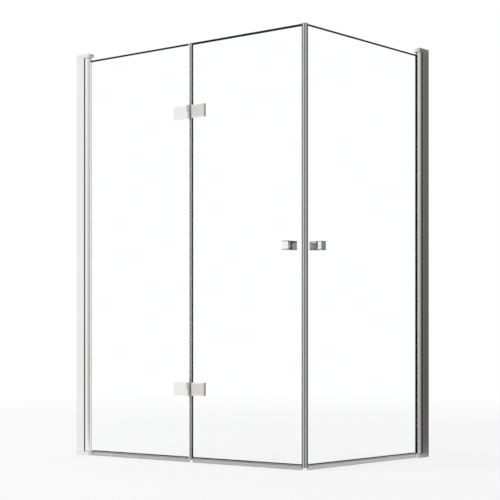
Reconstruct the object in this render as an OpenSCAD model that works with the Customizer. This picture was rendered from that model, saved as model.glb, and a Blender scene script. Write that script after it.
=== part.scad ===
// Corner bath screen of clear 6 mm glass. A folding screen closes the long side of the bath:
// a panel that pivots on its wall profile, and a second panel that folds on two glass hinges.
// A single pivoting panel closes the short side. Both meet at the corner on mitred magnet seals.
//
// Each screen is drawn in its own frame: X runs along the screen from its wall, Y runs across it
// with + towards the bath, and Z is up from the bath rim. Y = 0 is the middle of the glass.
// The whole part then has its origin at the middle of its own box, on the rim.

/* [Overall size] */
// Height from the bath rim to the top of the caps
height = 1400; // [1200:10:1500]
// Length of the folding screen, from the wall to the outside of the corner
front_width = 997; // [940:1:1200]
// Length of the pivoting screen, from the wall to the outside of the corner
side_width = 693; // [600:1:900]
// Distance of the fold line from the outside of the corner
fold_from_corner = 471.5; // [400:0.5:480]

/* [Glass] */
// Thickness of the glass
glass_t = 6; // [5:0.5:8]
// Height of the caps' tops above the glass
glass_drop = 24; // [22:1:60]
// Gap between a bottom bush and the glass above it
glass_over_bush = 0.4; // [0.3:0.1:2]
// Width of the ground edge chamfer
arris = 0.7; // [0.3:0.1:1.2]
// Gap between the two panes at the fold line
fold_gap = 7; // [6:0.5:10]
// Distance of the panes' ends from the outside of the corner
corner_gap = 9; // [8.6:0.2:12]

/* [Wall profiles] */
// Width across a wall profile
profile_w = 25; // [24.4:0.2:30]
// Depth of a wall profile, out from the wall
profile_d = 36.5; // [34:0.5:45]
// Thickness of its two side walls
profile_wall = 1.8; // [1.4:0.1:2.4]
// Thickness of the web on the wall
profile_back = 2.5; // [2:0.5:4]
// Radius of the wall screws' holes
wall_hole_r = 2.75; // [2:0.25:4]
// Distance of the outer wall screws from the profile's ends
wall_hole_end = 136; // [60:1:250]

/* [Adjusting profiles] */
// Depth of the sliding profile inside the wall profile
slider_d = 25; // [22:1:28]
// Thickness of the sliding profile's walls
slider_wall = 1.6; // [1.2:0.1:2.2]
// Running gap between the two profiles on each side
slider_gap = 0.2; // [0.1:0.05:0.4]
// How far the sliding profile lies back from the wall profile's lip
slider_setback = 3.5; // [2:0.1:6]
// Distance between the two screw ports
port_pitch = 10.4; // [9:0.2:11]
// Outer radius of a screw port
port_r = 3.4; // [3:0.1:3.6]

/* [Pivots] */
// Diameter of the round pivot profile
tube_d = 24; // [22:0.5:24]
// Wall of the pivot profile
tube_wall = 1.6; // [1.2:0.1:2.2]
// Gap between the pivot profile and the sliding profile behind it
tube_gap = 1; // [0.6:0.1:3]
// Depth of the pivot profile's glass slot
slot_depth = 6.5; // [5.5:0.1:6.6]
// Thickness of the glazing gasket on each side of the glass
gasket_t = 1; // [0.6:0.1:1.5]
// Radius of the pivot pins
pin_r = 3.9; // [3:0.1:4]
// Length of a pin inside the pivot profile
pin_grip = 18; // [12:1:40]
// Wall of a bush
bush_wall = 2; // [1.5:0.1:2.5]
// Length of a bush inside its cap
bush_h = 9; // [7:0.5:10]
// Thickness of a bush's flange
flange_t = 1; // [0.6:0.1:2]

/* [Caps] */
// Height of a cap
cap_h = 14; // [12:0.5:17]
// How far the cap's nose reaches past the pivot profile
nose_reach = 9.5; // [6:0.5:12]
// Radius of the nose in side view
nose_round = 9; // [4:0.5:10]

/* [Glass hinges] */
// Length of a hinge leaf along the glass
leaf_w = 55.5; // [50:0.5:65]
// Height of a hinge
leaf_h = 43; // [36:1:60]
// Thickness of an outer leaf
leaf_t = 8; // [7:0.5:10]
// Thickness of an inner clamp plate
clamp_t = 5; // [4.5:0.5:7]
// Length of an inner clamp plate, which the leaf hides from outside
clamp_w = 45; // [42:0.5:48]
// Height of an inner clamp plate
clamp_h = 34; // [28:1:40]
// Distance of a clamp plate from the fold line
clamp_gap = 11.5; // [9:0.5:16]
// Distance of a leaf from the fold line
leaf_gap = 11.5; // [9:0.5:16]
// Width of a leaf's bevel, which the end at the barrel doesn't have
leaf_bevel_w = 4; // [2:0.5:6]
// Depth of a leaf's bevel
leaf_bevel_d = 1.2; // [0.6:0.1:2]
// Radius of the hinge barrel
barrel_r = 7.2; // [6.5:0.1:8]
// Distance of the hinge axis from the glass
barrel_out = 12; // [11:0.1:14]
// Radius of the hinge pin
hinge_pin_r = 3.5; // [3:0.1:4.5]
// Distance of a hinge's middle from the glass's nearer end
hinge_from_end = 226; // [120:1:300]
// Gap between the two halves of a hinge's barrel
barrel_split = 1.4; // [1:0.1:2.4]
// Thickness of the pads between hinge and glass
pad_t = 1.5; // [1:0.1:2]
// Distance between a hinge plate's two screws
leaf_screw_pitch = 27; // [24:0.5:29]

/* [Knobs] */
// Width of a knob
knob_w = 25; // [20:1:32]
// Height of a knob
knob_h = 28; // [22:1:36]
// Depth of an outer knob
knob_out_d = 14; // [11:0.5:15]
// Depth of an inner knob
knob_in_d = 25; // [15:0.5:30]
// Chamfer round a knob's face
knob_chamfer = 0.8; // [0.5:0.1:3]
// Distance of the folding panel's knob from the corner
front_knob_from_corner = 68; // [50:1:120]
// Distance of the side panel's knob from the corner
side_knob_from_corner = 75; // [50:1:120]
// Thickness of the washers under the knobs
knob_pad_t = 1; // [0.6:0.1:2]

/* [Seals] */
// Thickness of the seals' walls
seal_t = 1.2; // [0.8:0.1:1.3]
// Length of the seals' legs on the glass
seal_leg = 3; // [2:0.5:6.5]
// Length of the corner seals' legs on the glass
corner_leg = 4; // [3:0.5:12]
// How far the upright seals hang below the glass
seal_drop = 7; // [3:0.5:9]
// How far the upright seals stand above the glass
seal_rise = 1.5; // [0:0.1:4]
// Gap between the mitred faces of the corner seals
mitre_gap = 0.4; // [0.3:0.1:0.8]
// Width of a magnet strip
magnet_w = 5; // [4:0.1:5.4]
// Thickness of a magnet strip
magnet_t = 2; // [1.4:0.1:2.2]
// Gap between the bottom seals' lips and the bath rim
lip_gap = 0.5; // [0.5:0.5:4]
// Slant reach of the drip fins
fin_reach = 7; // [4:0.5:9]

/* [Fasteners] */
// Radius of the hinge screws' and knob studs' shanks
bolt_r = 3; // [2:0.1:3.2]
// Radius of the cap screws' shanks
cap_screw_r = 1.9; // [1.5:0.1:2]
// Length of the cap screws
cap_screw_l = 26; // [18:1:40]
// Radius of the locking screws' shanks
lock_screw_r = 1.9; // [1.5:0.1:2.2]
// Length of the locking screws
lock_screw_l = 8; // [6:0.5:9]
// Distance of the outer locking screws from the profile's ends
lock_screw_end = 186; // [100:1:300]

/* [Hidden] */
$fn = 48;

// Clearances and small sizes
fit_gap = 0.05;        // round pieces pressed or turning in a hole
seat_gap = 0.3;        // a piece that runs close to its seat
cut = 1;               // how far a cutting tool stands proud of what it cuts
screw_gap = 0.3;       // round a shank in a clearance hole
head_h = 2.4;          // height of a pan head
head_over = 1.9;       // how far a pan head reaches past its shank
socket_r = 2;          // corner radius of a hexagon socket
socket_h = 2;          // depth of a hexagon socket
collar_wall = 2.6;     // wall of the collars round bolts through the glass
blind_end = 3;         // metal left at the end of a blind hole
bulb_wall = 1.4;       // wall of the fold seal's bulb
edge_chamfer = 0.6;    // chamfer at the ends of the hinge barrel
clamp_bevel = 1;       // bevel round a clamp plate
pad_inset = 1;         // how far a hinge's pads stay back from its plates' edges
washer_h = barrel_split - seat_gap;
sink_r = bolt_r * 2;   // radius of a countersunk head

// Heights
glass_z0 = cap_h + flange_t + glass_over_bush;
glass_z1 = height - glass_drop;
profile_z0 = cap_h;
profile_z1 = height - cap_h;
tube_z0 = cap_h + flange_t + seat_gap;
seal_z0 = glass_z0 - seal_drop;
seal_z1 = glass_z1 + seal_rise;
hinge_zs = [glass_z0 + hinge_from_end, glass_z1 - hinge_from_end];
knob_z = (glass_z0 + glass_z1) / 2;
wall_hole_zs = [profile_z0 + wall_hole_end, height / 2, profile_z1 - wall_hole_end];
lock_screw_zs = [profile_z0 + lock_screw_end, height / 2, profile_z1 - lock_screw_end];

// Places along a screen, from its wall
tube_r = tube_d / 2;
slider_x1 = profile_d - slider_setback;
tube_x = slider_x1 + tube_gap + tube_r;
slot_x = tube_x + tube_r - slot_depth;
pane_x = slot_x + gasket_t;
nose_x = tube_x + tube_r + nose_reach - profile_w / 2;
fold_x = front_width - fold_from_corner;
fixed_pane_end = fold_x - fold_gap / 2;
folding_pane_start = fold_x + fold_gap / 2;
bottom_seal_start = nose_x + profile_w / 2 + cut;
front_knob_x = front_width - front_knob_from_corner;
side_knob_x = side_width - side_knob_from_corner;
slider_x0 = slider_x1 - slider_d;
port_x = slider_x1 - slider_wall - port_r - 2;
lock_screw_x = port_x - port_r - lock_screw_r - 2;

// Places across a screen
slider_w = profile_w - 2 * (profile_wall + slider_gap);
slot_w = glass_t + 2 * gasket_t;
leaf_y = glass_t / 2 + pad_t;
hinge_y = -(glass_t / 2 + barrel_out);
bush_r = pin_r + fit_gap + bush_wall;
leaf_mid = leaf_gap + leaf_w / 2;
clamp_mid = clamp_gap + clamp_w / 2;
bolt_hole_r = bolt_r + fit_gap + collar_wall + fit_gap;

// The middle of the whole part's box
knob_stand = knob_pad_t + knob_out_d;
mid_x = (front_width + knob_stand) / 2;
mid_y = (side_width - barrel_out - barrel_r) / 2;

// Colours
aluminium = [0.80, 0.80, 0.79];
chrome = [0.86, 0.85, 0.84];
clear_glass = [0.82, 0.93, 0.90, 0.35];
clear_pvc = [0.75, 0.77, 0.77, 0.7];
dark_rubber = [0.25, 0.25, 0.26];
nylon = [0.93, 0.93, 0.90];
steel = [0.68, 0.69, 0.70];

// ---------- frames and helpers ----------

// Puts a piece of the folding screen in its place
module on_front() translate([-mid_x, glass_t / 2 - mid_y, 0]) children();

// Puts a piece of the side screen in its place, which is the front's mirror image
module on_side()
    translate([front_width - glass_t / 2 - mid_x, side_width - mid_y, 0])
        rotate(-90)
            mirror([0, 1, 0])
                children();

// Extrudes an outline, drawn across the screen and up, along the screen
module along(x0, x1) translate([x0, 0, 0]) rotate([90, 0, 90]) linear_extrude(x1 - x0) children();

// Extrudes an outline, drawn along the screen and up, across it from y0 to y1
module across(y0, y1) translate([0, y1, 0]) rotate([90, 0, 0]) linear_extrude(y1 - y0) children();

// Extrudes a plan outline from z0 up to z1
module upright(z0, z1) translate([0, 0, z0]) linear_extrude(z1 - z0) children();

// Repeats a piece at the bottom and, upside down, at the top
module both_ends() {
    children();
    translate([0, 0, height]) mirror([0, 0, 1]) children();
}

// A round bar across the screen from y0 to y1, or a cone where the radii differ
module bar_y(r, y0, y1, r_end = undef)
    translate([0, y0, 0])
        rotate([-90, 0, 0])
            cylinder(r1 = r, r2 = is_undef(r_end) ? r : r_end, h = y1 - y0);

// A rectangle with rounded corners, as squares and circles
module rounded_rect(w, h, r) {
    square([w - 2 * r, h], center = true);
    square([w, h - 2 * r], center = true);
    for (x = [-1, 1], y = [-1, 1]) translate([x * (w / 2 - r), y * (h / 2 - r)]) circle(r);
}

// A plate that stands out from y = 0 to y = -t, with a bevel round its face
module bevelled_plate(w, h, t, bevel_w, bevel_d) {
    intersection() {
        linear_extrude(h, center = true)
            polygon([
                [-w / 2, 0], [w / 2, 0], [w / 2, bevel_d - t], [w / 2 - bevel_w, -t],
                [bevel_w - w / 2, -t], [-w / 2, bevel_d - t]
            ]);
        rotate([90, 0, 90])
            linear_extrude(w, center = true)
                polygon([
                    [0, -h / 2], [0, h / 2], [bevel_d - t, h / 2], [-t, h / 2 - bevel_w],
                    [-t, bevel_w - h / 2], [bevel_d - t, -h / 2]
                ]);
    }
}

// ---------- pieces fixed to the wall ----------

// Channel that is screwed to the wall, with rounded lips
module wall_profile() {
    difference() {
        upright(profile_z0, profile_z1) {
            difference() {
                translate([0, -profile_w / 2]) square([profile_d - profile_wall / 2, profile_w]);
                translate([profile_back, profile_wall - profile_w / 2])
                    square([profile_d, profile_w - 2 * profile_wall]);
            }
            for (side = [-1, 1])
                translate([profile_d - profile_wall / 2, side * (profile_w - profile_wall) / 2])
                    circle(profile_wall / 2);
        }
        for (z = wall_hole_zs)
            translate([-cut, 0, z]) rotate([0, 90, 0]) cylinder(r = wall_hole_r, h = profile_back + 2 * cut);
        for (z = lock_screw_zs)
            translate([lock_screw_x, 0, z])
                bar_y(lock_screw_r + screw_gap, profile_w / 2 - profile_wall - cut, profile_w / 2 + cut);
    }
}

// Sliding channel inside the wall profile, with two ports for the cap screws
module adjusting_profile() {
    difference() {
        upright(profile_z0, profile_z1) {
            difference() {
                translate([slider_x0, -slider_w / 2]) square([slider_d, slider_w]);
                translate([slider_x0 - cut, slider_wall - slider_w / 2])
                    square([slider_d - slider_wall + cut, slider_w - 2 * slider_wall]);
            }
            for (side = [-1, 1]) difference() {
                union() {
                    translate([port_x, side * port_pitch / 2]) circle(port_r);
                    translate([port_x, side * port_pitch / 2 - slider_wall / 2])
                        square([slider_x1 - port_x - slider_wall / 2, slider_wall]);
                }
                translate([port_x, side * port_pitch / 2]) circle(cap_screw_r + fit_gap);
            }
        }
        for (z = lock_screw_zs)
            translate([lock_screw_x, 0, z])
                bar_y(lock_screw_r + fit_gap, slider_w / 2 - slider_wall - cut, slider_w / 2 + cut);
    }
}

// Screws that lock the sliding profile, driven from the bath side
module lock_screws() {
    for (z = lock_screw_zs) translate([lock_screw_x, 0, z]) {
        bar_y(lock_screw_r, profile_w / 2 - lock_screw_l, profile_w / 2);
        difference() {
            bar_y(lock_screw_r + head_over, profile_w / 2, profile_w / 2 + head_h, lock_screw_r + 1);
            translate([0, profile_w / 2 + head_h - socket_h, 0])
                rotate([-90, 0, 0])
                    cylinder(r = socket_r, h = socket_h + cut, $fn = 6);
        }
    }
}

// Bottom cap: it covers both profiles, carries the pivot bush and ends in a rounded nose
module cap() {
    tip = nose_x + profile_w / 2;
    difference() {
        intersection() {
            upright(0, cap_h) {
                translate([0, -profile_w / 2]) square([nose_x, profile_w]);
                translate([nose_x, 0]) circle(profile_w / 2);
            }
            across(-profile_w / 2 - cut, profile_w / 2 + cut) {
                square([tip - nose_round, cap_h]);
                translate([0, nose_round]) square([tip, cap_h - nose_round]);
                translate([tip - nose_round, nose_round]) circle(nose_round);
            }
        }
        translate([tube_x, 0, cap_h - bush_h - seat_gap])
            cylinder(r = bush_r + fit_gap, h = bush_h + seat_gap + cut);
        for (side = [-1, 1]) translate([port_x, side * port_pitch / 2, 0]) {
            translate([0, 0, -cut]) cylinder(r = cap_screw_r + screw_gap, h = cap_h + 2 * cut);
            translate([0, 0, -cut])
                cylinder(r = cap_screw_r + head_over + screw_gap, h = head_h + seat_gap + cut);
        }
    }
}

// Two screws that hold a cap, with their heads sunk in it
module cap_screws() {
    for (side = [-1, 1]) translate([port_x, side * port_pitch / 2, seat_gap]) {
        difference() {
            cylinder(r = cap_screw_r + head_over, h = head_h);
            translate([0, 0, -cut]) cylinder(r = socket_r, h = cut + socket_h, $fn = 6);
        }
        translate([0, 0, head_h]) cylinder(r = cap_screw_r, h = cap_screw_l - head_h);
    }
}

// Flanged bush in a cap, which the pivot profile turns on
module pivot_bush() {
    translate([tube_x, 0, 0])
        difference() {
            union() {
                translate([0, 0, cap_h - bush_h]) cylinder(r = bush_r, h = bush_h);
                translate([0, 0, cap_h]) cylinder(r = bush_r + 2, h = flange_t);
            }
            translate([0, 0, cap_h - bush_h - cut])
                cylinder(r = pin_r + fit_gap, h = bush_h + flange_t + 2 * cut);
        }
}

// ---------- pieces of a pivoting panel ----------

// Round extruded profile: a shell, a core for the pins and a slot for the glass
module pivot_tube() {
    core_r = pin_r + fit_gap + tube_wall;
    translate([tube_x, 0, 0])
        upright(tube_z0, height - tube_z0)
            difference() {
                union() {
                    difference() {
                        circle(tube_r);
                        circle(tube_r - tube_wall);
                    }
                    circle(core_r);
                    translate([-tube_r + tube_wall / 2, -tube_wall / 2])
                        square([tube_r - core_r, tube_wall]);
                    intersection() {
                        circle(tube_r - tube_wall / 2);
                        translate([tube_r - slot_depth - tube_wall, -slot_w / 2 - tube_wall])
                            square([slot_depth + tube_wall, slot_w + 2 * tube_wall]);
                    }
                }
                circle(pin_r + fit_gap);
                translate([tube_r - slot_depth, -slot_w / 2]) square([slot_depth + cut, slot_w]);
            }
}

// Pin that is pressed into the pivot profile and turns in the bush
module pivot_pin()
    translate([tube_x, 0, cap_h - bush_h + seat_gap])
        cylinder(r = pin_r, h = bush_h + flange_t + pin_grip);

// Gasket that holds the glass in the slot
module glazing_gasket()
    upright(glass_z0, glass_z1)
        difference() {
            translate([slot_x, -slot_w / 2]) square([slot_depth + gasket_t / 2, slot_w]);
            translate([pane_x, -glass_t / 2]) square([slot_depth + cut, glass_t]);
        }

// A pane with ground edges, from x0 to x1
module pane(x0, x1) {
    half = glass_t / 2;
    intersection() {
        upright(glass_z0, glass_z1)
            polygon([
                [x0 + arris, -half], [x1 - arris, -half], [x1, arris - half], [x1, half - arris],
                [x1 - arris, half], [x0 + arris, half], [x0, half - arris], [x0, arris - half]
            ]);
        along(x0 - cut, x1 + cut)
            polygon([
                [-half, glass_z0 + arris], [arris - half, glass_z0], [half - arris, glass_z0],
                [half, glass_z0 + arris], [half, glass_z1 - arris], [half - arris, glass_z1],
                [arris - half, glass_z1], [-half, glass_z1 - arris]
            ]);
    }
}

// Hole for a bolt through the glass
module bolt_hole() bar_y(bolt_hole_r, -glass_t / 2 - cut, glass_t / 2 + cut);

// Clip-on seal below a pane: legs on the glass, a lip to the rim and a drip fin on the bath side
module bottom_seal(x0, x1)
    along(x0, x1) {
        half = glass_t / 2;
        for (side = [-1, 1])
            translate([side > 0 ? half : -half - seal_t, glass_z0 - seal_t])
                square([seal_t, seal_leg + seal_t]);
        translate([-half - seal_t, glass_z0 - seal_t]) square([glass_t + 2 * seal_t, seal_t]);
        translate([-seal_t / 2, lip_gap]) square([seal_t, glass_z0 - lip_gap - seal_t / 2]);
        polygon([
            [0, glass_z0 - 2 * seal_t], [fin_reach, glass_z0 - 2 * seal_t - fin_reach],
            [fin_reach + seal_t, glass_z0 - 2 * seal_t - fin_reach],
            [seal_t, glass_z0 - seal_t / 2], [0, glass_z0 - seal_t / 2]
        ]);
    }

// Plan of a seal's channel on a pane that ends at x = 0, with its legs towards -x
module seal_channel(leg) {
    difference() {
        translate([-leg, -glass_t / 2 - seal_t]) square([leg + seal_t, glass_t + 2 * seal_t]);
        translate([-leg - cut, -glass_t / 2]) square([leg + cut, glass_t]);
    }
}

// ---------- corner seals ----------

// Plan frame at the outside of a screen's corner: x runs back from the corner, y into the bath
module at_corner(screen_width) translate([screen_width, -glass_t / 2]) mirror([1, 0, 0]) children();

// Plan of the magnet's place behind the mitred face, with some room round it
module magnet_plan(room) {
    face = mitre_gap / sqrt(2);
    middle = (glass_t + seal_t) / 2;
    translate([middle + face, middle])
        rotate(-45)
            translate([seal_t / 2, -magnet_w / 2])
                translate([-room, -room])
                    square([magnet_t + 2 * room, magnet_w + 2 * room]);
}

// Magnet seal on the end of a pane, cut at 45 degrees where the two screens meet
module magnet_seal(screen_width) {
    face = mitre_gap / sqrt(2);
    low = -seal_t;
    high = glass_t + seal_t;
    upright(seal_z0, seal_z1)
        at_corner(screen_width)
            difference() {
                polygon([
                    [low + face, low], [corner_gap + corner_leg, low], [corner_gap + corner_leg, 0],
                    [corner_gap, 0], [corner_gap, glass_t], [corner_gap + corner_leg, glass_t],
                    [corner_gap + corner_leg, high], [high + face, high]
                ]);
                magnet_plan(fit_gap);
            }
}

// Magnet strip inside a corner seal
module magnet_strip(screen_width)
    upright(seal_z0 + seal_t, seal_z1 - seal_t) at_corner(screen_width) magnet_plan(0);

// ---------- knobs ----------

// One knob, which stands out from y = 0 to y = -depth, with a blind hole for its stud
module knob(depth)
    difference() {
        intersection() {
            bevelled_plate(knob_w, knob_h, depth, knob_chamfer, knob_chamfer);
            across(-depth - cut, cut) rounded_rect(knob_w, knob_h, knob_chamfer);
        }
        bar_y(bolt_r + fit_gap, blind_end - depth, cut);
    }

module outer_knob(x) translate([x, -glass_t / 2 - knob_pad_t, knob_z]) knob(knob_out_d);

module inner_knob(x)
    translate([x, glass_t / 2 + knob_pad_t, knob_z]) mirror([0, 1, 0]) knob(knob_in_d);

// Stud that joins the two knobs through the glass
module knob_stud(x) {
    reach = glass_t / 2 + knob_pad_t - blind_end - seat_gap;
    translate([x, 0, knob_z]) bar_y(bolt_r, -reach - knob_out_d, reach + knob_in_d);
}

// Washers under the knobs: the inner one has a collar through the glass
module knob_washers(x)
    translate([x, 0, knob_z]) difference() {
        union() {
            for (side = [-1, 1])
                translate([0, side * (glass_t + knob_pad_t) / 2, 0])
                    bar_y(knob_w / 2 - 2, -knob_pad_t / 2, knob_pad_t / 2);
            bar_y(bolt_hole_r - fit_gap, seat_gap - glass_t / 2, glass_t / 2 + knob_pad_t / 2);
        }
        bar_y(bolt_r + fit_gap, -glass_t, glass_t);
    }

// ---------- glass hinges ----------

// Repeats a piece at both hinges, in a frame on the fold line at the hinge's middle
module at_hinges() for (z = hinge_zs) translate([fold_x, 0, z]) children();

// Repeats a piece at a hinge plate's two screws
module at_leaf_screws()
    for (side = [-1, 1]) translate([clamp_mid + side * leaf_screw_pitch / 2, 0, 0]) children();

// The moving leaf on the outside of the glass, with the upper half of the barrel
module hinge_leaf() {
    arm_y0 = leaf_bevel_d + seat_gap - leaf_y - leaf_t;
    arm_y1 = hinge_y + barrel_r - fit_gap;
    knuckle_h = (leaf_h - barrel_split) / 2;
    difference() {
        union() {
            intersection() {
                translate([leaf_mid - leaf_bevel_w / 2, -leaf_y, 0])
                    bevelled_plate(leaf_w + leaf_bevel_w, leaf_h, leaf_t, leaf_bevel_w, leaf_bevel_d);
                translate([leaf_gap, -leaf_y - leaf_t - cut, -leaf_h])
                    cube([leaf_w + cut, leaf_t + 2 * cut, 2 * leaf_h]);
            }
            translate([0, hinge_y, barrel_split / 2]) {
                cylinder(r = barrel_r, h = knuckle_h - edge_chamfer);
                translate([0, 0, knuckle_h - edge_chamfer])
                    cylinder(r1 = barrel_r, r2 = barrel_r - edge_chamfer, h = edge_chamfer);
            }
            translate([0, arm_y0, barrel_split / 2])
                cube([leaf_gap + leaf_bevel_w, arm_y1 - arm_y0, knuckle_h]);
        }
        translate([0, hinge_y, -cut])
            cylinder(r = hinge_pin_r + fit_gap, h = leaf_h / 2 + cut - blind_end);
        at_leaf_screws() bar_y(bolt_r + fit_gap, 2 - leaf_y - leaf_t, cut - leaf_y);
    }
}

// Clamp plate on the bath side, with countersunk holes
module hinge_clamp()
    difference() {
        translate([clamp_mid, leaf_y, 0])
            mirror([0, 1, 0])
                bevelled_plate(clamp_w, clamp_h, clamp_t, clamp_bevel, clamp_bevel);
        at_leaf_screws() {
            bar_y(bolt_r + screw_gap, leaf_y - cut, leaf_y + clamp_t + cut);
            translate([0, leaf_y + clamp_t, 0]) {
                bar_y(bolt_r + fit_gap, -bolt_r, 0, sink_r + fit_gap);
                bar_y(sink_r + fit_gap, 0, cut);
            }
        }
    }

// Pads on both faces of the glass: the outer one has collars through the glass
module hinge_pads()
    difference() {
        union() {
            translate([leaf_mid, -(glass_t + pad_t) / 2, 0])
                cube([leaf_w - 2 * pad_inset, pad_t, leaf_h - 2 * pad_inset], center = true);
            translate([clamp_mid, (glass_t + pad_t) / 2, 0])
                cube([clamp_w - 2 * pad_inset, pad_t, clamp_h - 2 * pad_inset], center = true);
            at_leaf_screws() bar_y(bolt_hole_r - fit_gap, -(glass_t + pad_t) / 2, glass_t / 2 - seat_gap);
        }
        at_leaf_screws() bar_y(bolt_r + fit_gap, -leaf_y - cut, leaf_y + cut);
    }

// Countersunk screws from the clamp plate into the leaf
module hinge_screws()
    at_leaf_screws() {
        head_y = leaf_y + clamp_t;
        bar_y(bolt_r, seat_gap + 2 - leaf_y - leaf_t, head_y - bolt_r);
        difference() {
            bar_y(bolt_r, head_y - bolt_r, head_y, sink_r);
            translate([0, head_y - socket_h, 0])
                rotate([-90, 0, 0])
                    cylinder(r = socket_r, h = socket_h + cut, $fn = 6);
        }
    }

// The fixed side of a hinge is the moving side turned upside down and to the left
module fixed_side() rotate([0, 180, 0]) children();

// ---------- nodes: fixed to the walls ----------

module front_wall_profile() color(aluminium) on_front() wall_profile();
module front_adjusting_profile() color(aluminium) on_front() adjusting_profile();
module front_lock_screws() color(steel) on_front() lock_screws();
module front_bottom_cap() color(aluminium) on_front() cap();
module front_top_cap() color(aluminium) on_front() translate([0, 0, height]) mirror([0, 0, 1]) cap();
module front_cap_screws() color(steel) on_front() both_ends() cap_screws();
module front_pivot_bushes() color(nylon) on_front() both_ends() pivot_bush();

module side_wall_profile() color(aluminium) on_side() wall_profile();
module side_adjusting_profile() color(aluminium) on_side() adjusting_profile();
module side_lock_screws() color(steel) on_side() lock_screws();
module side_bottom_cap() color(aluminium) on_side() cap();
module side_top_cap() color(aluminium) on_side() translate([0, 0, height]) mirror([0, 0, 1]) cap();
module side_cap_screws() color(steel) on_side() both_ends() cap_screws();
module side_pivot_bushes() color(nylon) on_side() both_ends() pivot_bush();

// ---------- nodes: the panel that pivots on the front wall ----------

module front_pivot_tube() color(chrome) on_front() pivot_tube();
module front_pivot_pins() color(steel) on_front() both_ends() pivot_pin();
module front_glazing_gasket() color(clear_pvc) on_front() glazing_gasket();

module front_glass()
    color(clear_glass) on_front()
        difference() {
            pane(pane_x, fixed_pane_end);
            at_hinges() fixed_side() at_leaf_screws() bolt_hole();
        }

module front_bottom_seal()
    color(clear_pvc) on_front()
        bottom_seal(bottom_seal_start, fixed_pane_end - seal_leg - seat_gap);

// Seal on the fixed pane's edge, which the bulb closes on
module fold_buffer_seal()
    color(clear_pvc) on_front()
        upright(seal_z0, seal_z1) translate([fixed_pane_end, 0]) seal_channel(seal_leg);

module fixed_hinge_leaves() color(chrome) on_front() at_hinges() fixed_side() hinge_leaf();
module fixed_hinge_clamps() color(chrome) on_front() at_hinges() fixed_side() hinge_clamp();
module fixed_hinge_pads() color(nylon) on_front() at_hinges() fixed_side() hinge_pads();
module fixed_hinge_screws() color(steel) on_front() at_hinges() fixed_side() hinge_screws();

module hinge_pins()
    color(steel) on_front() at_hinges()
        translate([0, hinge_y, 0])
            cylinder(r = hinge_pin_r, h = leaf_h - 2 * (blind_end + seat_gap), center = true);

module hinge_washers()
    color(nylon) on_front() at_hinges()
        translate([0, hinge_y, -barrel_split / 2])
            difference() {
                cylinder(r = barrel_r - edge_chamfer, h = washer_h);
                translate([0, 0, -cut]) cylinder(r = hinge_pin_r + fit_gap, h = washer_h + 2 * cut);
            }

// ---------- nodes: the folding panel ----------

module folding_glass()
    color(clear_glass) on_front()
        difference() {
            pane(folding_pane_start, front_width - corner_gap);
            at_hinges() at_leaf_screws() bolt_hole();
            translate([front_knob_x, 0, knob_z]) bolt_hole();
        }

module folding_bottom_seal()
    color(clear_pvc) on_front()
        bottom_seal(folding_pane_start + seal_leg + seat_gap,
                    front_width - corner_gap - corner_leg - seat_gap);

// Seal on the folding pane's edge, with a hollow bulb
module fold_bulb_seal() {
    bulb_r = (fold_gap - seal_t - seat_gap) / 2;
    color(clear_pvc) on_front()
        upright(seal_z0, seal_z1)
            difference() {
                union() {
                    translate([folding_pane_start, 0]) mirror([1, 0]) seal_channel(seal_leg);
                    translate([folding_pane_start - bulb_r, 0]) circle(bulb_r);
                }
                translate([folding_pane_start - bulb_r, 0]) circle(bulb_r - bulb_wall);
            }
}

module moving_hinge_leaves() color(chrome) on_front() at_hinges() hinge_leaf();
module moving_hinge_clamps() color(chrome) on_front() at_hinges() hinge_clamp();
module moving_hinge_pads() color(nylon) on_front() at_hinges() hinge_pads();
module moving_hinge_screws() color(steel) on_front() at_hinges() hinge_screws();

module front_magnet_seal() color(clear_pvc) on_front() magnet_seal(front_width);
module front_magnet_strip() color(dark_rubber) on_front() magnet_strip(front_width);

module front_knob_outer() color(chrome) on_front() outer_knob(front_knob_x);
module front_knob_inner() color(chrome) on_front() inner_knob(front_knob_x);
module front_knob_stud() color(steel) on_front() knob_stud(front_knob_x);
module front_knob_washers() color(nylon) on_front() knob_washers(front_knob_x);

// ---------- nodes: the side panel ----------

module side_pivot_tube() color(chrome) on_side() pivot_tube();
module side_pivot_pins() color(steel) on_side() both_ends() pivot_pin();
module side_glazing_gasket() color(clear_pvc) on_side() glazing_gasket();

module side_glass()
    color(clear_glass) on_side()
        difference() {
            pane(pane_x, side_width - corner_gap);
            translate([side_knob_x, 0, knob_z]) bolt_hole();
        }

module side_bottom_seal()
    color(clear_pvc) on_side()
        bottom_seal(bottom_seal_start, side_width - corner_gap - corner_leg - seat_gap);

module side_magnet_seal() color(clear_pvc) on_side() magnet_seal(side_width);
module side_magnet_strip() color(dark_rubber) on_side() magnet_strip(side_width);

module side_knob_outer() color(chrome) on_side() outer_knob(side_knob_x);
module side_knob_inner() color(chrome) on_side() inner_knob(side_knob_x);
module side_knob_stud() color(steel) on_side() knob_stud(side_knob_x);
module side_knob_washers() color(nylon) on_side() knob_washers(side_knob_x);

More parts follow.
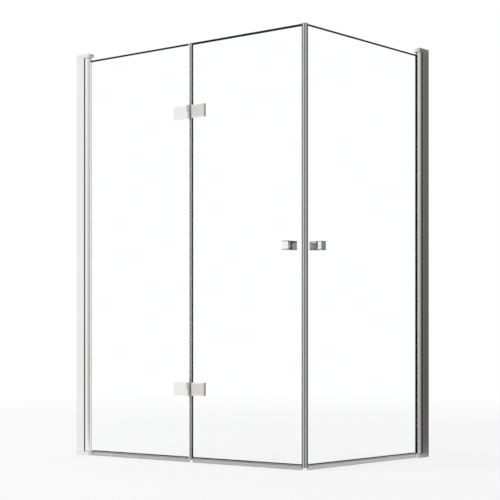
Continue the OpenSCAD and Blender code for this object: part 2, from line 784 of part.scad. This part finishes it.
front_wall_profile();
front_adjusting_profile();
front_lock_screws();
front_top_cap();
front_bottom_cap();
front_cap_screws();
front_pivot_bushes();
side_wall_profile();
side_adjusting_profile();
side_lock_screws();
side_top_cap();
side_bottom_cap();
side_cap_screws();
side_pivot_bushes();
front_pivot_tube();
front_pivot_pins();
front_glazing_gasket();
front_glass();
front_bottom_seal();
fold_buffer_seal();
fixed_hinge_leaves();
fixed_hinge_clamps();
fixed_hinge_pads();
fixed_hinge_screws();
hinge_pins();
hinge_washers();
folding_glass();
folding_bottom_seal();
fold_bulb_seal();
moving_hinge_leaves();
moving_hinge_clamps();
moving_hinge_pads();
moving_hinge_screws();
front_magnet_seal();
front_magnet_strip();
front_knob_outer();
front_knob_inner();
front_knob_stud();
front_knob_washers();
side_pivot_tube();
side_pivot_pins();
side_glazing_gasket();
side_glass();
side_bottom_seal();
side_magnet_seal();
side_magnet_strip();
side_knob_outer();
side_knob_inner();
side_knob_stud();
side_knob_washers();
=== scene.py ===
"""Looks of a corner bath screen: clear panes, bright profiles, satin hinges and soft clear seals.

Everything is in metres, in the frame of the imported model. The screen stands at z = 0. The front screen runs
along X and the side screen along Y, and they enclose the inner side.
"""
import math

import bpy
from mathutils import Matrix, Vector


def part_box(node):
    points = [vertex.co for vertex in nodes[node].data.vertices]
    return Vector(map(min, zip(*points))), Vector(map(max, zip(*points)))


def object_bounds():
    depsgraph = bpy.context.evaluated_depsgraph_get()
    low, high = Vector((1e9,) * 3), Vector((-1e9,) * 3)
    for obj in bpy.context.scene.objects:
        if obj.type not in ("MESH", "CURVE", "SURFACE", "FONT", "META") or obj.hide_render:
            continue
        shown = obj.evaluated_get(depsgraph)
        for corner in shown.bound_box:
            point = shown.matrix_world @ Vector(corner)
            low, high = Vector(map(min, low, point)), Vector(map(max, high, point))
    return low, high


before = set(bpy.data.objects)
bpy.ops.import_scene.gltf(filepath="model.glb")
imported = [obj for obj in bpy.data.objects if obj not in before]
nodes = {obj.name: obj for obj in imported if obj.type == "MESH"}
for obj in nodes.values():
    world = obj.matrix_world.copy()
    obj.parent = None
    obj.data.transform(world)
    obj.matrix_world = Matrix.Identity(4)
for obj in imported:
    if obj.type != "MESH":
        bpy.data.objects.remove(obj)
cad_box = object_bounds()

# ---------- sizes read from the frame ----------

PANE_LOW, PANE_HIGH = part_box("front_glass")
PANE_BOTTOM, PANE_TOP = PANE_LOW.z, PANE_HIGH.z
TUBE_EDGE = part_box("front_pivot_tube")[1].x
KNOB_LOW, KNOB_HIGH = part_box("front_knob_outer")
KNOB_MIDDLE = (KNOB_LOW.z + KNOB_HIGH.z) / 2
KNOB_HALF = (KNOB_HIGH.z - KNOB_LOW.z) / 2
BOTTOM_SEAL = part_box("side_bottom_seal")
FRONT_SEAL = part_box("front_magnet_seal")
SIDE_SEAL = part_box("side_magnet_seal")

# ---------- camera and stage ----------

CAMERA_AT = (3.1494, -3.8598, 0.3977)
CAMERA_AZIMUTH = 39.245          # degrees, to the left of +Y
FOCAL_PIXELS = 1434.77           # focal length in pixels of a 500 pixel wide frame
HORIZON_ROW = 341.31             # pixel row of the horizon
FRAME_PIXELS = 500
SENSOR = 36.0
CLIP_NEAR, CLIP_FAR = 0.05, 200

FLOOR_SIZE = 60.0
FLOOR_AT = -0.0005               # just under the lowest pieces
FLOOR_GREY = 0.92
FLOOR_SHARE = 0.24               # how much of the floor's look is its lit surface, which takes shadows
FLOOR_FADE = (1.2, 6.0)          # distances over which that surface fades into plain white
SKY_FILL = 0.62                  # world light on matt surfaces
KEY_POWER = 95.0                 # watts
KEY_SIZE = 3.2
KEY_AT = (-2.6, -3.4, 3.6)

# What metal reflects, round the horizon: azimuth in degrees from +X, brightness.
# Pale all round, with a grey stretch beyond the side screen.
SURROUNDINGS = [
    (0, 0.50), (20, 0.66), (33, 0.68), (42, 0.36), (50, 0.24), (60, 0.20), (70, 0.18), (80, 0.36), (90, 0.62),
    (102, 0.78), (125, 0.94), (160, 0.97), (206, 0.97), (245, 0.93), (270, 0.80), (300, 0.60), (335, 0.48),
    (360, 0.50),
]
PALE_GAIN, PALE_OFFSET = 2.2, -1.0  # from a brightness to the share of it that no shade changes
LOW_SIDE, HIGH_SIDE = -0.10, 0.22   # Z of the direction where the grey stretch is darkest and brightest
FLOOR_DIM, HIGH_GAIN = 0.80, 1.35   # how bright it is there, beside its middle

ONE_OR_MORE = 0.5                   # a count of bounces is over this when there has been one


def make_camera():
    data = bpy.data.cameras.new("camera")
    data.sensor_width = SENSOR
    data.lens = SENSOR * FOCAL_PIXELS / FRAME_PIXELS
    data.shift_y = (HORIZON_ROW - FRAME_PIXELS / 2) / FRAME_PIXELS
    data.clip_start, data.clip_end = CLIP_NEAR, CLIP_FAR
    camera = bpy.data.objects.new("camera", data)
    camera.location = CAMERA_AT
    camera.rotation_euler = (math.radians(90), 0, math.radians(CAMERA_AZIMUTH))
    bpy.context.scene.collection.objects.link(camera)
    bpy.context.scene.camera = camera


class Nodes:
    """A short way to add linked nodes to a tree."""

    def __init__(self, tree):
        self.tree = tree

    def add(self, kind, inputs=None, **settings):
        node = self.tree.nodes.new("ShaderNode" + kind)
        for key, value in settings.items():
            setattr(node, key, value)
        for key, value in (inputs or {}).items():
            self.put(node, key, value)
        return node

    def put(self, node, key, value):
        if isinstance(value, bpy.types.NodeSocket):
            self.tree.links.new(value, node.inputs[key])
        else:
            node.inputs[key].default_value = value

    def math(self, operation, a, b=0.0, c=0.0, clamp=False):
        node = self.add("Math", {0: a, 1: b, 2: c}, operation=operation, use_clamp=clamp)
        return node.outputs[0]

    def ramp(self, factor, stops):
        """A grey that follows the factor through the stops, each a place from 0 to 1 and a value."""
        node = self.add("ValToRGB", {"Fac": factor})
        elements = node.color_ramp.elements
        while len(elements) < len(stops):
            elements.new(0.5)
        for element, (place, value) in zip(elements, stops):
            element.position = place
            element.color = (value, value, value, 1)
        return node.outputs["Color"]

    def mix(self, factor, a, b, blend="MIX"):
        node = self.add("Mix", data_type="RGBA", blend_type=blend)
        for socket, value in ((0, factor), (6, a), (7, b)):
            if isinstance(value, tuple):
                value = (*value, 1)
            self.put(node, socket, value)
        return node.outputs[2]


def turn_share(n, x, y):
    """The azimuth of the direction x, y as a share of a full turn from +X."""
    turn = n.math("ARCTAN2", y, x)
    return n.math("FRACT", n.math("MULTIPLY_ADD", turn, 1 / math.tau, 1.0))


def round_ramp(n, x, y, stops):
    """A grey that follows the azimuth of the direction x, y. The stops give azimuths in degrees."""
    return n.ramp(turn_share(n, x, y), [(azimuth / 360, value) for azimuth, value in stops])


def surroundings(n, x, y, shade):
    """Brightness of the surroundings in the direction x, y. The shade changes their grey stretch alone."""
    seen = round_ramp(n, x, y, SURROUNDINGS)
    shaded = n.math("MULTIPLY", seen, shade)
    pale = n.math("MULTIPLY_ADD", seen, PALE_GAIN, PALE_OFFSET, clamp=True)
    return n.mix(pale, shaded, seen)


def ray_kinds(n):
    """Two shares: one for rays that metal has reflected, one for rays from a matt surface.

    What the face of a pane mirrors is left out of both, so it shows the white background.
    """
    path = n.add("LightPath")
    glossy = n.math("GREATER_THAN", path.outputs["Glossy Depth"], ONE_OR_MORE)
    outside = n.math("LESS_THAN", path.outputs["Transmission Depth"], ONE_OR_MORE)
    pane = n.math("MULTIPLY", path.outputs["Is Singular Ray"], outside)
    reflected = n.math("SUBTRACT", glossy, pane, clamp=True)
    from_matt = n.math("GREATER_THAN", path.outputs["Diffuse Depth"], ONE_OR_MORE)
    return reflected, from_matt


def make_world():
    world = bpy.data.worlds.new("studio")
    bpy.context.scene.world = world
    world.use_nodes = True
    world.node_tree.nodes.clear()
    n = Nodes(world.node_tree)
    way = n.add("SeparateXYZ", {"Vector": n.add("TexCoord").outputs["Generated"]})
    height = n.add("MapRange", {"Value": way.outputs["Z"], "From Min": LOW_SIDE, "From Max": HIGH_SIDE})
    shade = n.ramp(height.outputs[0], [(0.0, FLOOR_DIM), (0.5, 1.0), (1.0, HIGH_GAIN)])
    plain = n.add("Background", {"Color": (1, 1, 1, 1), "Strength": 1.0})
    fill = n.add("Background", {"Color": (1, 1, 1, 1), "Strength": SKY_FILL})
    gloss = n.add("Background", {"Color": surroundings(n, way.outputs["X"], way.outputs["Y"], shade)})
    reflected, from_matt = ray_kinds(n)
    first = n.add("MixShader", {0: reflected, 1: plain.outputs[0], 2: gloss.outputs[0]})
    last = n.add("MixShader", {0: from_matt, 1: first.outputs[0], 2: fill.outputs[0]})
    n.add("OutputWorld", {"Surface": last.outputs[0]})


def make_floor():
    mesh = bpy.data.meshes.new("floor")
    half = FLOOR_SIZE / 2
    corners = [(x * half, y * half, FLOOR_AT) for x, y in ((-1, -1), (1, -1), (1, 1), (-1, 1))]
    mesh.from_pydata(corners, [], [(0, 1, 2, 3)])
    floor = bpy.data.objects.new("floor", mesh)
    bpy.context.scene.collection.objects.link(floor)
    material = bpy.data.materials.new("floor")
    material.use_nodes = True
    material.node_tree.nodes.clear()
    n = Nodes(material.node_tree)
    place = n.add("TexCoord").outputs["Object"]
    spot = n.add("SeparateXYZ", {"Vector": place})
    away = n.add("VectorMath", {0: place}, operation="LENGTH").outputs["Value"]
    near = n.add("MapRange", {"Value": away, "From Min": FLOOR_FADE[0], "From Max": FLOOR_FADE[1],
                              "To Min": FLOOR_SHARE, "To Max": 0.0}, interpolation_type="SMOOTHSTEP")
    lit = n.add("BsdfDiffuse", {"Color": (FLOOR_GREY, FLOOR_GREY, FLOOR_GREY, 1)})
    white = n.add("Emission", {"Color": (1, 1, 1, 1), "Strength": 1.0})
    mirrored = n.add("Emission", {"Color": surroundings(n, spot.outputs["X"], spot.outputs["Y"], FLOOR_DIM)})
    reflected, from_matt = ray_kinds(n)
    face = n.add("MixShader", {0: near.outputs[0], 1: white.outputs[0], 2: lit.outputs[0]})
    seen = n.add("MixShader", {0: reflected, 1: face.outputs[0], 2: mirrored.outputs[0]})
    last = n.add("MixShader", {0: from_matt, 1: seen.outputs[0], 2: lit.outputs[0]})
    n.add("OutputMaterial", {"Surface": last.outputs[0]})
    mesh.materials.append(material)


def make_key():
    data = bpy.data.lights.new("key", "AREA")
    data.shape = "SQUARE"
    data.size = KEY_SIZE
    data.energy = KEY_POWER
    lamp = bpy.data.objects.new("key", data)
    lamp.location = KEY_AT
    direction = cad_box[0].lerp(cad_box[1], 0.5) - lamp.location
    lamp.rotation_euler = direction.to_track_quat("-Z", "Y").to_euler()
    lamp.visible_glossy = False
    bpy.context.scene.collection.objects.link(lamp)


# ---------- noises and reliefs ----------

ALONG_X, ALONG_Z, EVEN = (0.02, 1, 1), (1, 1, 0.01), (1, 1, 1)   # stretches of a noise

# Scale, stretch and detail
BLOTCHES = (22.0, (1, 1, 0.35), 2.0)
STREAKS = (260.0, (1, 1, 0.02), 2.0)
EDGE_GRAIN = (400.0, EVEN, 2.0)
MATT_GRAIN = (500.0, EVEN, 4.0)
LINE_SCALE, LINE_DETAIL = 900.0, 3.0

# Strength and depth, and for the draw lines of metal one strength and three depths
PVC_RELIEF = (0.25, 0.0002)
MATT_RELIEF = (0.2, 0.0001)
LINE_STRENGTH = 0.35
DRAWN, FINE, POLISHED = 0.00002, 0.00001, 0.000002

# Shares of a roughness between which a noise varies it
METAL_SPREAD = (0.75, 1.3)
PVC_SPREAD = (0.7, 1.4)

# ---------- looks of the metal ----------

METAL_TINT = 0.04                # how much darker the blotches are

# Painted shade and reflections round the side's pivot profile, by the azimuth of its face: a painted dark
# stretch beside the inner side of the pane, then bright, then grey
PANE_SHADE = 0.02
SIDE_TUBE_SHADES = [
    (0, 0.44), (60, 0.44), (110, 0.90), (221, 0.90), (225, PANE_SHADE), (274, PANE_SHADE),
    (277, 1.0), (326, 1.0), (333, 0.46), (360, 0.44),
]
SIDE_TUBE_RIM = 0.1              # keeps that dark stretch dark at its outline

# Painted highlights on the bevels of a hinge plate, by how far a face tilts up or down, and painted dark
# reflections on a knob, from its middle to its top or bottom
BEVEL_SHADES = [(0.0, 0.86), (0.15, 0.86), (0.25, 1.0), (1.0, 1.0)]
KNOB_SHADES = [(0.0, 1.0), (0.79, 1.0), (0.83, 0.36), (1.0, 0.30)]

# Painted shade on the side caps and on the front caps, by how far a face looks along +X, and on the edges of
# the front caps, by how far one tilts up or down
CAP_SHADES = [(0.0, 1.0), (0.86, 1.0), (0.97, 0.66), (1.0, 0.66)]
NOSE_SHADES = [(0.0, 1.0), (0.20, 1.0), (0.45, 0.80), (1.0, 0.77)]
CAP_EDGE_SHADES = [(0.0, 1.0), (0.25, 1.0), (0.40, 0.70), (0.85, 0.70), (0.95, 1.0), (1.0, 1.0)]

# ---------- looks of the glass ----------

GLASS_INDEX = 1.04               # low, so that a pane hardly mirrors and what lies behind it keeps its place
GLASS_TINT = (0.992, 1.0, 0.996)
EDGE_GREENS = (0.010, 0.014, 0.012), (0.030, 0.038, 0.034)
EDGE_OPACITY, EDGE_ROUGHNESS = 0.85, 0.3
FACE_LIMIT = 0.85                # a face looks along the pane's axis by more than this, an edge by less
LEVEL_LIMIT = 0.5                # the top and bottom edges look up or down by more than this
# Painted light on the pane's end inside its pivot profile: the pale of a lit gasket, as colour and glow
PAINTED_GLOW = (0.80, 0.80, 0.78)
PALE_GLOW = 0.52                 # stands in for the daylight that reaches the pane's end through the glass

# Heights of the dark band along the top of each pane, and along the bottom of them all
FRONT_BAND, FOLDING_BAND, SIDE_BAND = 0.0050, 0.0062, 0.0044
BOTTOM_BAND = 0.0004

# ---------- looks of the seals ----------

PVC_INDEX = 1.20
WHITE = (1.0, 1.0, 1.0)
LEG_HEIGHT = 0.0040              # of the clear upper part of a bottom seal's legs on the pane
LEG_GAP = 0.0002                 # how far short of the pane's edge the buffer seal's legs end

# Shades across a corner seal, from its legs on the pane to the mitre
FRONT_STRIPES = [
    (0.0, 0.26), (0.30, 0.26), (0.36, 1.0), (0.60, 1.0), (0.66, 0.22), (0.92, 0.22), (0.97, 1.0), (1.0, 1.0),
]
SIDE_STRIPES = [(0.0, 0.50), (0.08, 0.22), (0.40, 0.22), (0.46, 0.60), (0.74, 0.60), (0.80, 1.0), (1.0, 1.0)]

# Shades up a bottom seal: dark where the pane ends in it, and darker towards the floor, a painted shadow
BOTTOM_STRIPES = [
    (0.0, 0.80), (0.22, 0.86), (0.30, 1.0), (0.64, 1.0), (0.67, 0.60), (0.76, 0.60), (0.79, 1.0), (1.0, 1.0),
]

# Stripes and legs for clear_pvc: an axis, two places on it, and the stripes' shades
FRONT_SPAN = ("X", FRONT_SEAL[0].x, FRONT_SEAL[1].x, FRONT_STRIPES)
SIDE_SPAN = ("Y", SIDE_SEAL[1].y, SIDE_SEAL[0].y, SIDE_STRIPES)
BOTTOM_SPAN = ("Z", BOTTOM_SEAL[0].z, BOTTOM_SEAL[1].z, BOTTOM_STRIPES)
BOTTOM_LEG = ("Z", BOTTOM_SEAL[1].z - LEG_HEIGHT, 1.0)
BUFFER_LEG = ("X", -1.0, PANE_HIGH.x - LEG_GAP)


def new_material(name):
    material = bpy.data.materials.new(name)
    material.use_nodes = True
    n = Nodes(material.node_tree)
    shader = material.node_tree.nodes["Principled BSDF"]
    return material, n, shader


def object_place(n):
    """Where a point lies in the frame at rest, as three sockets. It turns with the body."""
    return n.add("SeparateXYZ", {"Vector": n.add("TexCoord").outputs["Object"]})


def object_normal(n):
    """Which way a face looks at rest, as three sockets."""
    return n.add("SeparateXYZ", {"Vector": n.add("TexCoord").outputs["Normal"]})


def facing(n, axis):
    """How far a face looks along one of the object's axes, either way, from 0 to 1."""
    return n.math("ABSOLUTE", object_normal(n).outputs[axis])


def stretched_noise(n, scale, stretch, detail):
    mapping = n.add("Mapping", {"Vector": n.add("TexCoord").outputs["Object"], "Scale": stretch})
    noise = n.add("TexNoise", {"Vector": mapping.outputs[0], "Scale": scale, "Detail": detail})
    return noise.outputs["Fac"]


def roughen(n, shader, noise, roughness, smoothest, roughest):
    """Let the noise vary the roughness between two shares of it."""
    limits = {"Value": noise, "To Min": roughness * smoothest, "To Max": roughness * roughest}
    n.put(shader, "Roughness", n.add("MapRange", limits).outputs[0])


def emboss(n, shader, noise, strength, depth):
    relief = n.add("Bump", {"Height": noise, "Strength": strength, "Distance": depth})
    n.put(shader, "Normal", relief.outputs[0])


def tube_shades(n):
    """The colour left on the side's pivot profile: painted shade. The dark stretch ends at the pane's top."""
    normal = object_normal(n)
    x, y = normal.outputs["X"], normal.outputs["Y"]
    beside = round_ramp(n, x, y, SIDE_TUBE_SHADES)
    above = round_ramp(n, x, y, [(a, 1.0 if v == PANE_SHADE else v) for a, v in SIDE_TUBE_SHADES])
    return n.mix(n.math("GREATER_THAN", object_place(n).outputs["Z"], PANE_TOP), beside, above)


def side_cap_shades(n):
    """The colour left on a side cap: its outer face is darker, painted shade like its wall profile."""
    return n.ramp(object_normal(n).outputs["X"], CAP_SHADES)


def front_cap_shades(n):
    """The colour left on a front cap: painted shade makes its nose and its edges a little darker."""
    nose = n.ramp(object_normal(n).outputs["X"], NOSE_SHADES)
    return n.mix(1.0, nose, n.ramp(facing(n, "Z"), CAP_EDGE_SHADES), "MULTIPLY")


def bevel_shades(n):
    """The colour left on a hinge plate: its bevels, which tilt up or down, carry a painted highlight."""
    return n.ramp(facing(n, "Z"), BEVEL_SHADES)


def knob_shades(n):
    """The colour left on a knob: a painted dark reflection on the edges of its top and bottom."""
    height = n.math("SUBTRACT", object_place(n).outputs["Z"], KNOB_MIDDLE)
    share = n.math("DIVIDE", n.math("ABSOLUTE", height), KNOB_HALF)
    return n.ramp(share, KNOB_SHADES)


def metal(name, color, roughness, stretch, depth, shades=None, rim=1.0):
    """Metal with fine draw lines of the given stretch and depth.

    Shades, where given, is a function of painted light and shade: how much colour is left at a point, 0 to 1.
    The rim is how much of a mirror the metal is at a grazing angle.
    """
    material, n, shader = new_material(name)
    lines = stretched_noise(n, LINE_SCALE, stretch, LINE_DETAIL)
    blotches = stretched_noise(n, *BLOTCHES)
    shade = n.mix(blotches, tuple(c * (1 - METAL_TINT) for c in color), color)
    if shades:
        shade = n.mix(1.0, shade, shades(n), "MULTIPLY")
    n.put(shader, "Base Color", shade)
    n.put(shader, "Metallic", 1.0)
    n.put(shader, "Specular Tint", (rim, rim, rim, 1))
    roughen(n, shader, lines, roughness, *METAL_SPREAD)
    emboss(n, shader, lines, LINE_STRENGTH, depth)
    return material


def glass(name, face_axis, top_band, pale_end=None):
    """Clear glass whose ground edges, and a hair's breadth of face beside them, look dark and green.

    With a pale end, a place along X, the pane is painted pale and glows up to there, inside its pivot
    profile: painted light that stands in for the lit gasket. Its upright edges stay clear behind their seals.
    """
    material, n, shader = new_material(name)
    place = object_place(n)
    if pale_end is None:
        edge = n.math("LESS_THAN", facing(n, face_axis), FACE_LIMIT)
    else:
        edge = n.math("GREATER_THAN", facing(n, "Z"), LEVEL_LIMIT)
    near_top = n.math("GREATER_THAN", place.outputs["Z"], PANE_TOP - top_band)
    near_bottom = n.math("LESS_THAN", place.outputs["Z"], PANE_BOTTOM + BOTTOM_BAND)
    mask = n.math("MAXIMUM", edge, n.math("MAXIMUM", near_top, near_bottom))
    dark = n.mix(stretched_noise(n, *EDGE_GRAIN), *EDGE_GREENS)
    # Painted light: inside its pivot profile the pane is painted pale and glows.
    if pale_end is not None:
        in_profile = n.math("LESS_THAN", place.outputs["X"], pale_end)
        dark = n.mix(in_profile, dark, PAINTED_GLOW)
        mask = n.math("MAXIMUM", mask, in_profile)
        n.put(shader, "Emission Color", (*PAINTED_GLOW, 1))
        n.put(shader, "Emission Strength", n.math("MULTIPLY", in_profile, PALE_GLOW))
    n.put(shader, "Base Color", n.mix(mask, GLASS_TINT, dark))
    n.put(shader, "Transmission Weight", n.math("MULTIPLY_ADD", mask, -EDGE_OPACITY, 1.0))
    n.put(shader, "Roughness", n.math("MULTIPLY", mask, EDGE_ROUGHNESS))
    n.put(shader, "IOR", GLASS_INDEX)
    return material


def clear_pvc(name, clear, roughness, grey=(0.68, 0.80), stripes=None, leg=None, leg_clear=1.0,
              index=PVC_INDEX):
    """Clear soft extrusion, between two greys. Stripes are shades across its section, between two places.

    A leg on the pane shows little but its outline: it is white, and as clear as leg_clear between its places.
    """
    material, n, shader = new_material(name)
    streaks = stretched_noise(n, *STREAKS)
    color = n.mix(streaks, (grey[0],) * 3, (grey[1],) * 3)
    if stripes:
        axis, start, end, stops = stripes
        place = object_place(n).outputs[axis]
        share = n.add("MapRange", {"Value": place, "From Min": start, "From Max": end})
        color = n.mix(1.0, color, n.ramp(share.outputs[0], stops), "MULTIPLY")
    if leg:
        axis, low, high = leg
        place = object_place(n).outputs[axis]
        on_pane = n.math("MULTIPLY", n.math("GREATER_THAN", place, low), n.math("LESS_THAN", place, high))
        color = n.mix(on_pane, color, WHITE)
        clear = n.math("MULTIPLY_ADD", on_pane, leg_clear - clear, clear)
    n.put(shader, "Base Color", color)
    n.put(shader, "Transmission Weight", clear)
    roughen(n, shader, streaks, roughness, *PVC_SPREAD)
    n.put(shader, "IOR", index)
    emboss(n, shader, streaks, *PVC_RELIEF)
    return material


def matt(name, low, high, roughness):
    """Rubber or plastic, between two colours."""
    material, n, shader = new_material(name)
    grain = stretched_noise(n, *MATT_GRAIN)
    n.put(shader, "Base Color", n.mix(grain, low, high))
    n.put(shader, "Roughness", roughness)
    emboss(n, shader, grain, *MATT_RELIEF)
    return material


def dress(material, *names):
    for name in names:
        for slot in nodes[name].material_slots:
            slot.material = material


def both(*names):
    """The names of the pieces that the front and the side screen both have."""
    return [side + name for side in ("front_", "side_") for name in names]


# ---------- the scene ----------

make_camera()
make_world()
make_floor()
make_key()

dress(metal("polished_aluminium", (0.89, 0.89, 0.885), 0.20, ALONG_Z, DRAWN), "front_wall_profile")
# The side's wall profile is a darker, warmer copy of the front's aluminium: painted shade.
dress(metal("shaded_side_aluminium", (0.505, 0.475, 0.435), 0.20, ALONG_Z, DRAWN), "side_wall_profile")
dress(metal("shaded_aluminium", (0.16, 0.16, 0.165), 0.40, ALONG_Z, DRAWN), *both("adjusting_profile"))
# The front caps are a darker copy of the cap aluminium, with painted shade on their nose and edges.
dress(metal("front_cap_aluminium", (0.86, 0.855, 0.85), 0.18, EVEN, DRAWN, front_cap_shades),
      "front_top_cap", "front_bottom_cap")
# The side caps carry painted shade on their outer faces.
dress(metal("side_cap_aluminium", (0.90, 0.895, 0.89), 0.18, EVEN, DRAWN, side_cap_shades),
      "side_top_cap", "side_bottom_cap")
dress(metal("pivot_chrome", (0.98, 0.955, 0.93), 0.14, ALONG_Z, FINE), "front_pivot_tube")
# tube_shades paints shade and reflections on the side's pivot profile.
dress(metal("side_pivot_chrome", (0.99, 0.965, 0.945), 0.14, ALONG_Z, FINE, tube_shades, SIDE_TUBE_RIM),
      "side_pivot_tube")
dress(metal("hinge_chrome", (0.92, 0.91, 0.90), 0.26, ALONG_X, DRAWN), "fixed_hinge_leaves")
# The moving leaves and the clamps are a darker, warmer copy of the hinge chrome: a painted reflection.
dress(metal("shaded_hinge_chrome", (0.86, 0.825, 0.79), 0.26, ALONG_X, DRAWN, bevel_shades),
      "moving_hinge_leaves", "fixed_hinge_clamps", "moving_hinge_clamps")
dress(metal("knob_chrome", (0.96, 0.96, 0.96), 0.12, EVEN, POLISHED, knob_shades), *both("knob_outer"))
# The front's inner knob is a darker copy of the knob chrome: painted shade.
dress(metal("shaded_inner_chrome", (0.52, 0.52, 0.51), 0.12, EVEN, POLISHED, knob_shades), "front_knob_inner")
dress(metal("side_inner_chrome", (0.96, 0.96, 0.94), 0.12, EVEN, POLISHED, knob_shades), "side_knob_inner")
dress(metal("stainless_steel", (0.66, 0.67, 0.68), 0.25, EVEN, DRAWN),
      *both("lock_screws", "cap_screws", "pivot_pins", "knob_stud"),
      "hinge_pins", "fixed_hinge_screws", "moving_hinge_screws")

dress(glass("front_pane_glass", "Y", FRONT_BAND, TUBE_EDGE), "front_glass")
dress(glass("folding_pane_glass", "Y", FOLDING_BAND), "folding_glass")
dress(glass("side_pane_glass", "X", SIDE_BAND), "side_glass")

# The front and side bottom seals are one seal in two greys: the difference is painted light and shade.
dress(clear_pvc("front_bottom_pvc", 0.20, 0.35, (0.66, 0.76), BOTTOM_SPAN, BOTTOM_LEG),
      "front_bottom_seal", "folding_bottom_seal")
dress(clear_pvc("side_bottom_pvc", 0.35, 0.35, (0.94, 1.0), BOTTOM_SPAN, BOTTOM_LEG), "side_bottom_seal")
dress(clear_pvc("gasket_pvc", 0.10, 0.45, (0.85, 0.92)), "front_glazing_gasket")
# The side's glazing gasket is a dark copy of the front's: painted shade beside the side's pivot profile.
dress(clear_pvc("shaded_gasket_pvc", 0.0, 0.45, (0.17, 0.22)), "side_glazing_gasket")
dress(clear_pvc("buffer_pvc", 0.60, 0.20, leg=BUFFER_LEG, leg_clear=0.0, index=GLASS_INDEX),
      "fold_buffer_seal")
dress(clear_pvc("bulb_pvc", 0.60, 0.20), "fold_bulb_seal")
dress(clear_pvc("front_corner_pvc", 0.15, 0.30, stripes=FRONT_SPAN), "front_magnet_seal")
dress(clear_pvc("side_corner_pvc", 0.15, 0.30, stripes=SIDE_SPAN), "side_magnet_seal")

dress(matt("magnet_rubber", (0.05, 0.05, 0.055), (0.09, 0.09, 0.095), 0.6), *both("magnet_strip"))
dress(matt("pad_rubber", (0.10, 0.10, 0.10), (0.16, 0.16, 0.16), 0.5),
      "fixed_hinge_pads", "moving_hinge_pads")
dress(matt("white_nylon", (0.82, 0.82, 0.80), (0.90, 0.90, 0.88), 0.45),
      *both("pivot_bushes", "knob_washers"), "hinge_washers")

# ---------- end ----------

bpy.context.scene.view_settings.view_transform = "Standard"
